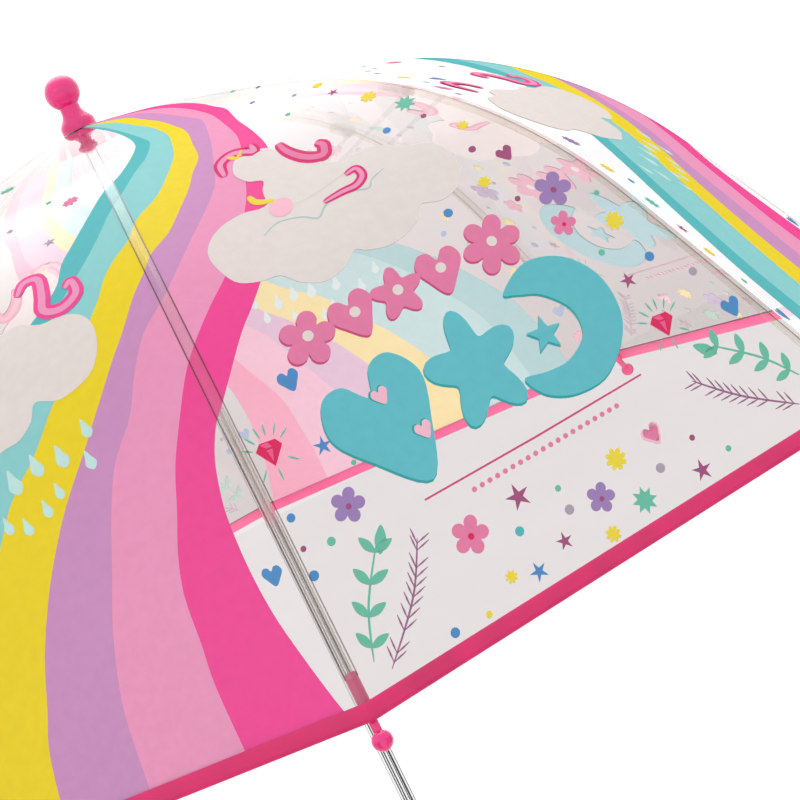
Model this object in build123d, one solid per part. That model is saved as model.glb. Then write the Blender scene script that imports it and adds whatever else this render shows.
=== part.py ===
from build123d import *
import os
from math import atan2, cos, degrees, hypot, radians, sin, sqrt

# A child's clear dome umbrella, open and upright. Millimetres and degrees.
# +Z runs up the shaft to the finial, and the origin is on the shaft's axis in the grip.
# Rib 1 points along -Y, and the others follow anticlockwise, seen from above.

# ---- driving dimensions -------------------------------------------------
RIB_COUNT = 8
FIRST_RIB_AZIMUTH = -90.0
APEX_Z = 562.0               # top of the film, where it meets the shaft

ARC_LENGTHS = (146.0, 187.0, 137.0)      # film along a rib, from the apex to the hem
ARC_SLOPES = (8.0, 16.0, 60.0, 62.0)     # slope below level, where those arcs start and end
FILM = 0.3
FILM_HOLE_R = 4.2
SECTION_GAP = 0.1            # from a section's edge to the middle of its gore

RIB_INSET = 3.4              # a rib's centreline below the film
ROD_R = 1.5
PIVOT_RING_R = 9.0           # ring wires of the crown and of the runner
RING_WIRE_R = 0.6
EYE_HOLE_R = 0.95
EYE_R = 2.0
EYE_T = 1.6
EYE_LENGTH = 7.0
JOINT_S = 212.0              # along the film, from the apex to the stretcher joint
STRETCHER_R = 1.2

PIN_R = 0.9
TONGUE_HOLE_R = 1.15
TONGUE_R = 2.1
TONGUE_T = 1.2
TONGUE_GAP = 0.25            # from the rib's plane to each of the two tongues
TONGUE_LENGTH = 8.5
EAR_T = 1.1
EAR_R = 2.3
EAR_INSIDE = 1.75            # from the rib's plane to the inside of each ear
EAR_LENGTH = 5.5
SOCKET_HALF_HEIGHT = 2.2
SOCKET_LENGTH = 9.0

TIP_TUBE_R = 2.6
TIP_TUBE_LENGTH = 17.0
TIP_NECK_R = 1.8
TIP_BALL_R = 4.0
TIP_BALL_REACH = 11.0        # from the hem to the ball's centre
TIP_BORE_END = 3.0           # the rod stops this far inside the hem
SEAT = 0.02                  # all round a piece that is pressed into another

SHAFT_R = 3.5
SHAFT_WALL = 0.7
SHAFT_FOOT_Z = -20.0
SHAFT_ABOVE_APEX = 9.0

CROWN_HUB_R = 5.4
CROWN_R = 12.0
CROWN_BELOW_APEX = (1.2, 11.0)           # top and foot, on the shaft's axis
NOTCH_WIDTH = 2.4
ROSETTE_R = 17.0
ROSETTE_T = 0.5
ROSETTE_NOTCH = 4.4

FINIAL_BALL_R = 9.2
FINIAL_BALL_Z = 20.0         # ball's centre above the apex
FINIAL_NECK_R = 5.2
FINIAL_SKIRT_R = 9.3

RUNNER_BORE_R = 3.8
RUNNER_SLEEVE_R = 6.4
RUNNER_TEETH_R = 12.0
RUNNER_FLANGE_R = 9.5
RUNNER_LENGTH = 38.0         # from the ring wire down to the foot
RUNNER_HEAD = 5.0            # from the ring wire up to the top
RUNNER_WINDOW_DEPTH = 24.0   # from the ring wire down to the window's middle
RUNNER_WINDOW_LENGTH = 12.0

CLOSED_FOLD = 71.0           # turn of a rib at the crown, from open to closed
CATCH_WIDTH = 1.6
CATCH_PROUD = 2.2
CATCH_NOSE_LENGTH = 9.0
CATCH_LEAF_LENGTH = 26.0
CATCH_LEAF_T = 0.5
CATCH_LEAF_WIDTH = 2.4
CATCH_GAP = 0.4              # from the open runner's foot to the top catch

HANDLE_R = 7.5
HANDLE_TOP_Z = 42.0
CROOK_Z = -34.0              # where the straight grip turns into the crook
CROOK_R = 23.0
CROOK_END = 9.0              # straight end beyond the half turn
COLLAR_R = 8.6
COLLAR_HEIGHT = 7.0

GORE_HALF_ANGLE = 180.0 / RIB_COUNT
CANOPY_LENGTH = sum(ARC_LENGTHS)


# ---- the curve of the film along a rib ----------------------------------
def film_at(s):
    """Radius, height and slope of the film along a rib, s from the apex."""
    r = 0.0
    z = 0.0
    for length, start, end in zip(ARC_LENGTHS, ARC_SLOPES, ARC_SLOPES[1:]):
        bend_r = length / radians(end - start)
        along = min(s, length)
        slope = radians(start) + along / bend_r
        r += bend_r * (sin(slope) - sin(radians(start)))
        z -= bend_r * (cos(radians(start)) - cos(slope))
        s -= along
        if s <= 0:
            break
    return r, APEX_Z + z, slope


def rib_at(s):
    """Radius, height and slope of a rib's centreline below the film."""
    r, z, slope = film_at(s)
    return r - RIB_INSET * sin(slope), z - RIB_INSET * cos(slope), slope


def station_at_radius(radius):
    """How far along the film the rib's centreline is at this radius."""
    low, high = 0.0, CANOPY_LENGTH
    for _ in range(60):
        middle = (low + high) / 2
        low, high = (middle, high) if rib_at(middle)[0] < radius else (low, middle)
    return low


# ---- the linkage ---------------------------------------------------------
CROWN_S = station_at_radius(PIVOT_RING_R)
CROWN_PIVOT = rib_at(CROWN_S)[:2]
JOINT_PIVOT = rib_at(JOINT_S)[:2]
RUNNER_PIVOT = (PIVOT_RING_R, 2 * JOINT_PIVOT[1] - CROWN_PIVOT[1])
LINK_REACH = JOINT_PIVOT[0] - CROWN_PIVOT[0]
LINK_DROP = CROWN_PIVOT[1] - JOINT_PIVOT[1]
LINK_LENGTH = hypot(LINK_REACH, LINK_DROP)
OPEN_FOLD = degrees(atan2(LINK_DROP, LINK_REACH))
RUNNER_CLOSED_Z = CROWN_PIVOT[1] - 2 * LINK_LENGTH * sin(radians(OPEN_FOLD + CLOSED_FOLD))
TOP_CATCH_Z = RUNNER_PIVOT[1] - RUNNER_LENGTH - CATCH_GAP
BOTTOM_CATCH_Z = RUNNER_CLOSED_Z - RUNNER_WINDOW_DEPTH - CATCH_NOSE_LENGTH / 2


# ---- helpers -------------------------------------------------------------
def azimuth(number):
    """Direction of a rib, counted from 1."""
    return FIRST_RIB_AZIMUTH + (number - 1) * 360.0 / RIB_COUNT


def turned(shape, number):
    """A shape made in rib plane XZ, turned to a rib's own direction."""
    return Rot(0, 0, azimuth(number)) * shape


def round_rod(start, stop, radius):
    """A round rod along the rib's centreline."""
    stations = [start + (stop - start) * i / 8 for i in range(9)]
    spots = [rib_at(s) for s in stations]
    points = [(r, 0, z) for r, z, _ in spots]
    ends = [(cos(spots[i][2]), 0, -sin(spots[i][2])) for i in (0, -1)]
    path = Spline(*points, tangents=ends)
    return sweep(Plane(points[0], z_dir=ends[0]) * Circle(radius), path=path)


def plate(outline, middle_y, thickness):
    """A flat plate: an outline in rib plane XZ, given its thickness along Y."""
    return extrude(Plane.XZ.offset(-middle_y) * outline, thickness / 2, both=True)


def link_end(pivot, heading, length, radius, hole_r, width):
    """Outline of a flattened rod end: an eye at the pivot and a neck along heading."""
    neck = Rot(0, 0, heading) * Pos(length / 2, 0) * Rectangle(length, width)
    return Pos(*pivot) * (Circle(radius) + neck - Circle(hole_r))


def revolved(outline):
    """A turned piece on the shaft's axis, from an outline of radius and height."""
    return revolve(Plane.XZ * outline, Axis.Z)


def ring_wire(height):
    """The closed wire that the flattened link ends turn on."""
    return Pos(0, 0, height) * Torus(PIVOT_RING_R, RING_WIRE_R)


def notches(inner_r, low, high, width, outer_r=40.0):
    """Radial slots at every rib, from inner_r outwards."""
    slot = Pos((inner_r + outer_r) / 2, 0, (low + high) / 2) * Box(
        outer_r - inner_r, width, high - low
    )
    return [turned(slot, number) for number in range(1, RIB_COUNT + 1)]


def heading_of(slope):
    """Angle in rib plane XZ of a line that goes outwards and down at this slope."""
    return -degrees(slope)


# ---- ribs, stretchers and tips --------------------------------------------
def upper_rib():
    """Fibreglass rod from the crown to the stretcher joint, flattened into an eye."""
    eye = link_end(
        CROWN_PIVOT, heading_of(rib_at(CROWN_S)[2]), EYE_LENGTH + 2, EYE_R, EYE_HOLE_R, 2 * EYE_R - 1
    )
    rod = round_rod(CROWN_S + EYE_LENGTH, JOINT_S - EAR_LENGTH - 1, ROD_R)
    return rod + plate(eye, 0, EYE_T)


def rib_joint():
    """Moulded clip on the rod's end with two ears, and the rivet through them."""
    slope = rib_at(JOINT_S - (EAR_LENGTH + SOCKET_LENGTH) / 2)[2]
    inwards = heading_of(slope) + 180
    body = Pos(EAR_LENGTH + SOCKET_LENGTH / 2, 0) * Rectangle(SOCKET_LENGTH, 2 * SOCKET_HALF_HEIGHT)
    arm = Pos(EAR_LENGTH / 2, 0) * Rectangle(EAR_LENGTH, 2 * EAR_R)
    place = Pos(*JOINT_PIVOT) * Rot(0, 0, inwards)
    ear = place * (Circle(EAR_R) + arm) - Pos(*JOINT_PIVOT) * Circle(PIN_R + SEAT)
    ear_y = EAR_INSIDE + EAR_T / 2
    clip = plate(ear, ear_y, EAR_T) + plate(ear, -ear_y, EAR_T)
    clip += plate(place * body, 0, 2 * (EAR_INSIDE + EAR_T))
    clip -= round_rod(JOINT_S - EAR_LENGTH - SOCKET_LENGTH - 3, JOINT_S - EAR_LENGTH - 0.8, ROD_R + SEAT)
    rivet = plate(Pos(*JOINT_PIVOT) * Circle(PIN_R), 0, 2 * (EAR_INSIDE + EAR_T))
    return Compound(children=[clip.solid(), rivet.solid()])


def lower_rib():
    """Fibreglass rod from the stretcher joint to the tip."""
    slope = rib_at(JOINT_S)[2]
    end = link_end(
        JOINT_PIVOT, heading_of(slope), TONGUE_LENGTH + 3, TONGUE_R, TONGUE_HOLE_R, 2 * PIN_R + 0.8
    )
    rod = round_rod(JOINT_S + TONGUE_LENGTH, CANOPY_LENGTH - TIP_BORE_END, ROD_R)
    return rod + plate(end, -TONGUE_GAP - TONGUE_T / 2, TONGUE_T)


def stretcher():
    """Steel wire strut from the rib joint in to the runner, both ends flattened."""
    outer = Vector(JOINT_PIVOT[0], 0, JOINT_PIVOT[1])
    inner = Vector(RUNNER_PIVOT[0], 0, RUNNER_PIVOT[1])
    run = (inner - outer).normalized()
    start = outer + run * TONGUE_LENGTH
    length = LINK_LENGTH - TONGUE_LENGTH - EYE_LENGTH
    wire = extrude(Plane(start, z_dir=run) * Circle(STRETCHER_R), length)
    tongue = link_end(
        JOINT_PIVOT, 180 + OPEN_FOLD, TONGUE_LENGTH + 3, TONGUE_R, TONGUE_HOLE_R, 2 * PIN_R + 0.6
    )
    eye = link_end(RUNNER_PIVOT, OPEN_FOLD, EYE_LENGTH + 2, EYE_R, EYE_HOLE_R, 2 * EYE_R - 1)
    return wire + plate(tongue, TONGUE_GAP + TONGUE_T / 2, TONGUE_T) + plate(eye, 0, EYE_T)


def rib_tip():
    """Moulded cap on the rod's end: a sleeve, a waist that the hem ties to, and a ball."""
    r, z, slope = rib_at(CANOPY_LENGTH)
    half_tube = Rectangle(TIP_TUBE_R, TIP_TUBE_LENGTH, align=(Align.MIN, Align.MAX))
    half_neck = Rectangle(TIP_NECK_R, TIP_BALL_REACH, align=(Align.MIN, Align.MIN))
    half_ball = Pos(0, TIP_BALL_REACH) * Circle(TIP_BALL_R) & Rectangle(
        TIP_BALL_R, 3 * TIP_BALL_REACH, align=(Align.MIN, Align.MIN)
    )
    along = Plane((r, 0, z), x_dir=(0, 1, 0), z_dir=(cos(slope), 0, -sin(slope)))
    turned_piece = revolve(Plane.XZ * (half_tube + half_neck + half_ball), Axis.Z)
    rim = turned_piece.edges().group_by(Axis.Z)[0]
    turned_piece = fillet(rim, 0.6)
    bore = round_rod(CANOPY_LENGTH - TIP_TUBE_LENGTH - 4, CANOPY_LENGTH - TIP_BORE_END, ROD_R + SEAT)
    return along * turned_piece - bore


# ---- canopy ----------------------------------------------------------------
def gore_band(low, high):
    """Section through the middle of a gore, between two offsets from the film's middle."""
    narrowing = cos(radians(GORE_HALF_ANGLE))
    stations = [2.0] + [CANOPY_LENGTH * i / 12 for i in range(1, 13)]

    def edge(offset):
        points = []
        for s in stations:
            r, z, slope = film_at(s)
            across, up = sin(slope), cos(slope) * narrowing
            size = hypot(across, up)
            points.append((r * narrowing + offset * across / size, z + offset * up / size))
        return points

    upper, lower = edge(high), edge(low)
    outline = [
        Spline(*upper),
        Line(upper[-1], lower[-1]),
        Spline(*lower),
        Line(lower[0], upper[0]),
    ]
    return make_face(outline)


def canopy_section():
    """Film on both sides of one rib, out to the middle of each gore beside it."""
    reach = CANOPY_LENGTH
    middle = Plane((0, 0, 0), x_dir=(1, 0, 0), z_dir=(0, -1, 0))
    gore = extrude(middle * gore_band(-FILM / 2, FILM / 2), reach)
    gore = Rot(0, 0, GORE_HALF_ANGLE) * Pos(0, -SECTION_GAP, 0) * gore
    half = gore & Pos(0, 0, APEX_Z) * Box(
        2 * reach, reach, 4 * reach, align=(Align.CENTER, Align.MIN, Align.CENTER)
    )
    whole = half + mirror(half, Plane.XZ)
    return whole - Pos(0, 0, APEX_Z) * Cylinder(FILM_HOLE_R, 40)


# ---- crown, finial and runner ----------------------------------------------
def under_film(radius, gap):
    """Height a gap below the film at a radius, along the gores' middles."""
    return film_at(radius / cos(radians(GORE_HALF_ANGLE)))[1] - gap


def crown():
    """Notched hub under the film that the ribs hinge in."""
    top, foot = CROWN_BELOW_APEX
    outline = make_face(
        Polyline(
            (SHAFT_R + SEAT, under_film(SHAFT_R, top)),
            (CROWN_R, under_film(CROWN_R, top + 0.4)),
            (CROWN_R, APEX_Z - 8.0),
            (CROWN_HUB_R + 1.5, APEX_Z - foot),
            (SHAFT_R + SEAT, APEX_Z - foot),
            close=True,
        )
    )
    hub = revolved(outline)
    hub -= notches(CROWN_HUB_R, APEX_Z - 30, APEX_Z + 10, NOTCH_WIDTH)
    return hub - Pos(0, 0, CROWN_PIVOT[1]) * Torus(PIVOT_RING_R, RING_WIRE_R + SEAT)


def rosette():
    """Thin washer between the crown and the film, with a drooping lobe in each gore."""
    knee = CROWN_R + 0.9
    outline = make_face(
        Polyline(
            (SHAFT_R + SEAT, under_film(SHAFT_R, 0.4)),
            (knee, under_film(knee, 0.4)),
            (ROSETTE_R, APEX_Z - 11.5),
            (ROSETTE_R - 2 * ROSETTE_T, APEX_Z - 11.5),
            (knee - ROSETTE_T, under_film(knee, 0.4 + ROSETTE_T)),
            (SHAFT_R + SEAT, under_film(SHAFT_R, 0.4 + ROSETTE_T)),
            close=True,
        )
    )
    slots = notches(CROWN_R - 2.5, APEX_Z - 30, APEX_Z + 10, ROSETTE_NOTCH)
    return revolved(outline) - slots


def finial():
    """Ball ferrule on the top of the shaft: skirt, neck and ball in one moulding."""
    ball_foot = FINIAL_BALL_Z - sqrt(FINIAL_BALL_R**2 - FINIAL_NECK_R**2)
    lift = FILM + 0.1
    seat_z = under_film(FINIAL_SKIRT_R, -lift)
    base = (SHAFT_R + SEAT, under_film(SHAFT_R, -lift))
    bore_top = APEX_Z + SHAFT_ABOVE_APEX + 0.5
    outline = make_face(
        [
            Polyline((0, bore_top), (SHAFT_R + SEAT, bore_top), base, (FINIAL_SKIRT_R, seat_z)),
            Line((FINIAL_SKIRT_R, seat_z), (FINIAL_SKIRT_R, APEX_Z + 1.6)),
            Spline(
                (FINIAL_SKIRT_R, APEX_Z + 1.6),
                (8.0, APEX_Z + 4.6),
                (FINIAL_NECK_R + 0.5, APEX_Z + 8.0),
                (FINIAL_NECK_R, APEX_Z + ball_foot),
                tangents=[(0, 1), (0, 1)],
            ),
            ThreePointArc(
                (FINIAL_NECK_R, APEX_Z + ball_foot),
                (FINIAL_BALL_R, APEX_Z + FINIAL_BALL_Z),
                (0, APEX_Z + FINIAL_BALL_Z + FINIAL_BALL_R),
            ),
            Line((0, APEX_Z + FINIAL_BALL_Z + FINIAL_BALL_R), (0, bore_top)),
        ]
    )
    return revolved(outline)


def runner():
    """Sliding sleeve with a notched head for the stretchers and a finger flange."""
    z = RUNNER_PIVOT[1]
    foot = z - RUNNER_LENGTH
    outline = make_face(
        Polyline(
            (RUNNER_BORE_R, z + RUNNER_HEAD),
            (RUNNER_SLEEVE_R, z + RUNNER_HEAD),
            (RUNNER_SLEEVE_R, z + 3.0),
            (RUNNER_TEETH_R, z + 3.0),
            (RUNNER_TEETH_R, z - 3.5),
            (RUNNER_SLEEVE_R, z - 8.0),
            (RUNNER_SLEEVE_R, foot + 6.0),
            (RUNNER_FLANGE_R, foot + 3.5),
            (RUNNER_FLANGE_R, foot + 0.8),
            (RUNNER_FLANGE_R - 0.8, foot),
            (RUNNER_BORE_R, foot),
            close=True,
        )
    )
    sleeve = revolved(outline)
    sleeve -= notches(RUNNER_SLEEVE_R - 0.4, z - 20, z + 20, NOTCH_WIDTH)
    window = Pos(0, RUNNER_SLEEVE_R, z - RUNNER_WINDOW_DEPTH) * Box(
        3.2, 2 * RUNNER_SLEEVE_R - 4, RUNNER_WINDOW_LENGTH
    )
    sleeve -= window
    return sleeve - Pos(0, 0, z) * Torus(PIVOT_RING_R, RING_WIRE_R + SEAT)


# ---- shaft, catches and handle ----------------------------------------------
def catch_outline(flat_z, upwards):
    """Side view of a catch in plane YZ: the leaf in the shaft and the wedge nose."""
    way = 1 if upwards else -1
    back = SHAFT_R - SHAFT_WALL - 1.6
    nose = Polyline(
        (back, flat_z),
        (SHAFT_R + CATCH_PROUD, flat_z),
        (SHAFT_R + CATCH_PROUD, flat_z - way * 2.0),
        (SHAFT_R, flat_z - way * CATCH_NOSE_LENGTH),
        (back, flat_z - way * (CATCH_NOSE_LENGTH + 1.0)),
        close=True,
    )
    leaf = Pos(back, flat_z - way * CATCH_LEAF_LENGTH / 2) * Rectangle(
        CATCH_LEAF_T, CATCH_LEAF_LENGTH
    )
    return make_face(nose), leaf


def catch(flat_z, upwards):
    """Spring catch in the shaft; its flat side stops the runner, its slope lets it pass."""
    nose, leaf = catch_outline(flat_z, upwards)
    piece = extrude(Plane.YZ * nose, CATCH_WIDTH / 2, both=True)
    return piece + extrude(Plane.YZ * leaf, CATCH_LEAF_WIDTH / 2, both=True)


def catch_slot(flat_z, upwards):
    """The slot in the shaft that a catch's nose comes out of."""
    way = 1 if upwards else -1
    length = CATCH_NOSE_LENGTH + 2.6
    middle = flat_z + way * 0.8 - way * length / 2
    return Pos(0, SHAFT_R, middle) * Box(CATCH_WIDTH + 0.6, 2 * SHAFT_WALL + 2, length)


def shaft():
    """Plated steel tube from inside the handle up into the finial."""
    top = APEX_Z + SHAFT_ABOVE_APEX
    length = top - SHAFT_FOOT_Z
    tube = Cylinder(SHAFT_R, length) - Cylinder(SHAFT_R - SHAFT_WALL, length)
    tube = Pos(0, 0, SHAFT_FOOT_Z + length / 2) * tube
    return tube - catch_slot(TOP_CATCH_Z, True) - catch_slot(BOTTOM_CATCH_Z, False)


def handle():
    """Moulded J handle: a straight grip, a half-turn crook and a round end."""
    straight = Line((0, 0, HANDLE_TOP_Z), (0, 0, CROOK_Z))
    crook = ThreePointArc(
        (0, 0, CROOK_Z), (CROOK_R, 0, CROOK_Z - CROOK_R), (2 * CROOK_R, 0, CROOK_Z)
    )
    end = Line((2 * CROOK_R, 0, CROOK_Z), (2 * CROOK_R, 0, CROOK_Z + CROOK_END))
    bar = sweep(Plane((0, 0, HANDLE_TOP_Z)) * Circle(HANDLE_R), path=straight + crook + end)
    bar += Pos(2 * CROOK_R, 0, CROOK_Z + CROOK_END) * Sphere(HANDLE_R)
    bar = fillet(bar.edges().group_by(Axis.Z)[-1], 1.5)
    depth = HANDLE_TOP_Z - SHAFT_FOOT_Z
    bore = Pos(0, 0, HANDLE_TOP_Z - depth / 2) * Cylinder(SHAFT_R + SEAT, depth)
    return bar - bore


def handle_collar():
    """Trim ring on the shaft over the top of the handle."""
    foot = HANDLE_TOP_Z
    outline = make_face(
        Polyline(
            (SHAFT_R + SEAT, foot),
            (COLLAR_R, foot),
            (COLLAR_R, foot + COLLAR_HEIGHT - 3.0),
            (COLLAR_R - 3.0, foot + COLLAR_HEIGHT),
            (SHAFT_R + SEAT, foot + COLLAR_HEIGHT),
            close=True,
        )
    )
    return revolved(outline)


# ---- all pieces --------------------------------------------------------------
def all_pieces():
    """Every node's shape by name."""
    pieces = {
        "shaft": shaft(),
        "crown": crown(),
        "crown_ring": ring_wire(CROWN_PIVOT[1]),
        "crown_rosette": rosette(),
        "finial": finial(),
        "runner": runner(),
        "runner_ring": ring_wire(RUNNER_PIVOT[1]),
        "top_catch": catch(TOP_CATCH_Z, True),
        "bottom_catch": catch(BOTTOM_CATCH_Z, False),
        "handle": handle(),
        "handle_collar": handle_collar(),
    }
    repeated = {
        "upper_rib": upper_rib(),
        "rib_joint": rib_joint(),
        "lower_rib": lower_rib(),
        "rib_tip": rib_tip(),
        "stretcher": stretcher(),
        "canopy_section": canopy_section(),
    }
    for name, shape in repeated.items():
        for number in range(1, RIB_COUNT + 1):
            pieces[f"{name}_{number}"] = turned(shape, number)
    return pieces


os.makedirs("parts", exist_ok=True)
for node, shape in all_pieces().items():
    export_step(shape, f"parts/{node}.step")

print("crown pivot", [round(v, 3) for v in CROWN_PIVOT])
print("rib joint pivot", [round(v, 3) for v in JOINT_PIVOT])
print("runner pivot", [round(v, 3) for v in RUNNER_PIVOT])
print("link length", round(LINK_LENGTH, 2), "open fold", round(OPEN_FOLD, 2))
print("runner closed", round(RUNNER_CLOSED_Z, 2), "hem", [round(v, 2) for v in film_at(CANOPY_LENGTH)[:2]])
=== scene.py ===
"""A child's clear dome umbrella, open, with a printed film canopy and a hot pink hem.

Lengths in this file are millimetres and angles are degrees, unless a name says otherwise.
Places on the canopy are (y, s): s runs along the film from the apex to the hem, and y is the
distance across the flat gore from a rib. The print repeats every two gores.
"""
from math import atan, ceil, cos, floor, hypot, pi, radians, sin, tan

import bmesh
import bpy
from mathutils import Matrix, Vector


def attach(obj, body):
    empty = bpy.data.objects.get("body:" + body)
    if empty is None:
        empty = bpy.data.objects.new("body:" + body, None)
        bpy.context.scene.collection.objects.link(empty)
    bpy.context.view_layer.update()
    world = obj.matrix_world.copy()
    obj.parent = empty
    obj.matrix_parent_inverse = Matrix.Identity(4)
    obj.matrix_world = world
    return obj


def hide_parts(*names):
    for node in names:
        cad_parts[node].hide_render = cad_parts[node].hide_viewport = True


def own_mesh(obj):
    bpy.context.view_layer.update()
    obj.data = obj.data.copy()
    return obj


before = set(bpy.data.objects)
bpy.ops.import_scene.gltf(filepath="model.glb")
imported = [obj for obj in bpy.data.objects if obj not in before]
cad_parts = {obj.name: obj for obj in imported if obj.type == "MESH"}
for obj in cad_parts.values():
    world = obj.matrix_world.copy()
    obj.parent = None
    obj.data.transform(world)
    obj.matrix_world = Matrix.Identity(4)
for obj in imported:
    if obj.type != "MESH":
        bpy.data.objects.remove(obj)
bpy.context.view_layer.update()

MM = 0.001
RIB_COUNT = 8
FIRST_RIB_AZIMUTH = -90.0
GORE = 360.0 / RIB_COUNT
APEX_Z = 562.0
ARC_LENGTHS = (146.0, 187.0, 137.0)
ARC_SLOPES = (8.0, 16.0, 60.0, 62.0)
HEM_S = sum(ARC_LENGTHS)
JOINT_S = 212.0
HOLE_S = 4.3
SAG = 1.8                    # how far a gore's middle is pulled in between its ribs
ROW = 8.0                    # the film's cells, along it
COLUMNS = 16                 # and across a gore
ON_RIB = 1e-6                # share of a gore this close to a rib counts as on it
MIN_CELL = 0.5               # no cell along the film is shorter than this


# ---- the canopy's surface -----------------------------------------------
def film_at(s):
    """Radius, height and slope of the film along a rib, at s from the apex."""
    r = 0.0
    z = 0.0
    slope = radians(ARC_SLOPES[0])
    for length, start, end in zip(ARC_LENGTHS, ARC_SLOPES, ARC_SLOPES[1:]):
        bend_r = length / radians(end - start)
        along = min(s, length)
        slope = radians(start) + along / bend_r
        r += bend_r * (sin(slope) - sin(radians(start)))
        z -= bend_r * (cos(radians(start)) - cos(slope))
        s -= along
        if s <= 0:
            break
    return r + s * cos(slope), APEX_Z + z - s * sin(slope), slope


def chord(s):
    """Width of a gore between its two ribs."""
    return 2 * film_at(s)[0] * sin(radians(GORE / 2))


def azimuth(u):
    return radians(FIRST_RIB_AZIMUTH + GORE * u)


def canopy_point(u, s, lift=0.0, gore=None):
    """A point in metres, u ribs round from rib 1 and lift out of the film."""
    gore = floor(u) if gore is None else gore
    t = u - gore
    r, z, slope = film_at(s)
    a = azimuth(gore)
    b = azimuth(gore + 1)
    middle = azimuth(gore + 0.5)
    face_slope = atan(tan(slope) / cos(radians(GORE / 2)))
    out = lift - SAG * 4 * t * (1 - t) * sin(pi * min(s, HEM_S) / HEM_S) ** 2
    if min(t, 1 - t) < ON_RIB:    # on a rib the two gores meet in a mitre
        middle = azimuth(u)
        out *= cos(slope) / cos(face_slope)
        face_slope = slope
    x = r * ((1 - t) * cos(a) + t * cos(b)) + out * sin(face_slope) * cos(middle)
    y = r * ((1 - t) * sin(a) + t * sin(b)) + out * sin(face_slope) * sin(middle)
    return Vector((x * MM, y * MM, (z + out * cos(face_slope)) * MM))


def stations(start, end, step=ROW):
    """start, the multiples of step between, and end."""
    inner = [k * step for k in range(ceil(start / step), floor(end / step) + 1)]
    return [start] + [s for s in inner if start + MIN_CELL < s < end - MIN_CELL] + [end]


# ---- objects and materials ----------------------------------------------
NOISE_LOW = 0.3              # most of a noise texture's values lie between these
NOISE_HIGH = 0.7
WHITE = (1, 1, 1, 1)


def rgb(red, green, blue):
    """A colour given as 0 to 255, as Blender's linear one."""
    linear = []
    for value in (red, green, blue):
        c = value / 255.0
        linear.append(c / 12.92 if c <= 0.04045 else ((c + 0.055) / 1.055) ** 2.4)
    return (*linear, 1.0)


def add_object(name, verts, faces, materials, face_materials=None):
    mesh = bpy.data.meshes.new(name)
    mesh.from_pydata(verts, [], faces)
    for material in materials:
        mesh.materials.append(material)
    if face_materials:
        mesh.polygons.foreach_set("material_index", face_materials)
    mesh.polygons.foreach_set("use_smooth", [True] * len(faces))
    mesh.update()
    obj = bpy.data.objects.new(name, mesh)
    bpy.context.scene.collection.objects.link(obj)
    return obj


class Nodes:
    """A material's node tree, with short calls to add and join nodes."""

    def __init__(self, name):
        self.material = bpy.data.materials.new(name)
        self.material.use_nodes = True
        self.tree = self.material.node_tree
        self.tree.nodes.clear()
        self.out = self.tree.nodes.new("ShaderNodeOutputMaterial")

    def add(self, kind, **values):
        node = self.tree.nodes.new("ShaderNode" + kind)
        for key, value in values.items():
            if key in node.inputs:
                node.inputs[key].default_value = value
            else:
                setattr(node, key, value)
        return node

    def link(self, source, target):
        self.tree.links.new(source, target)

    def surface(self, socket):
        self.link(socket, self.out.inputs["Surface"])
        return self.material

    def noise(self, scale, detail=3.0, stretch=(1, 1, 1)):
        where = self.add("TexCoord")
        mapping = self.add("Mapping")
        mapping.inputs["Scale"].default_value = stretch
        texture = self.add("TexNoise", Scale=scale, Detail=detail)
        self.link(where.outputs["Object"], mapping.inputs["Vector"])
        self.link(mapping.outputs["Vector"], texture.inputs["Vector"])
        return texture.outputs["Fac"]

    def spread(self, source, low, high):
        """A noise, taken to the range low to high."""
        node = self.add("MapRange")
        node.inputs["From Min"].default_value = NOISE_LOW
        node.inputs["From Max"].default_value = NOISE_HIGH
        node.inputs["To Min"].default_value = low
        node.inputs["To Max"].default_value = high
        self.link(source, node.inputs["Value"])
        return node.outputs["Result"]

    def ramp(self, source, low, high):
        """A noise, taken from the colour low to the colour high."""
        node = self.add("ValToRGB")
        node.color_ramp.elements[0].position = NOISE_LOW
        node.color_ramp.elements[1].position = NOISE_HIGH
        node.color_ramp.elements[0].color = low
        node.color_ramp.elements[1].color = high
        self.link(source, node.inputs["Fac"])
        return node.outputs["Color"]

    def bump(self, source, strength, distance):
        node = self.add("Bump", Strength=strength, Distance=distance)
        self.link(source, node.inputs["Height"])
        return node.outputs["Normal"]


PALEST = 0.96


def shade(colour, factor):
    return (*[min(1.0, c * factor) for c in colour[:3]], 1.0)


def paler(colour, share):
    return (*[c + (PALEST - c) * share for c in colour[:3]], 1.0)


def moulding(name, colour, roughness=0.3, coat=0.4):
    """Gloss moulded plastic, with a faint flow pattern in colour, gloss and surface."""
    n = Nodes(name)
    body = n.add("BsdfPrincipled", IOR=1.5)
    body.inputs["Coat Weight"].default_value = coat
    body.inputs["Coat Roughness"].default_value = 0.08
    body.inputs["Subsurface Weight"].default_value = 0.12
    body.inputs["Subsurface Scale"].default_value = 0.002
    flow = n.noise(60.0, 4.0)
    fine = n.noise(900.0, 2.0)
    n.link(n.ramp(flow, shade(colour, 0.9), shade(colour, 1.1)), body.inputs["Base Color"])
    n.link(n.spread(flow, roughness - 0.05, roughness + 0.07), body.inputs["Roughness"])
    n.link(n.bump(fine, 0.12, 0.0002), body.inputs["Normal"])
    return n.surface(body.outputs["BSDF"])


def chrome(name, colour, roughness):
    n = Nodes(name)
    body = n.add("BsdfPrincipled", Metallic=1.0)
    body.inputs["Base Color"].default_value = colour
    drawn = n.noise(40.0, 5.0, stretch=(30, 30, 0.6))
    n.link(n.spread(drawn, roughness * 0.7, roughness * 1.5), body.inputs["Roughness"])
    n.link(n.bump(drawn, 0.03, 0.0001), body.inputs["Normal"])
    return n.surface(body.outputs["BSDF"])


GLEAM = 0.032                # what clear plastic reflects, seen square on
EDGE_POWER = 4.0             # how steeply that rises towards its edges


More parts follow.
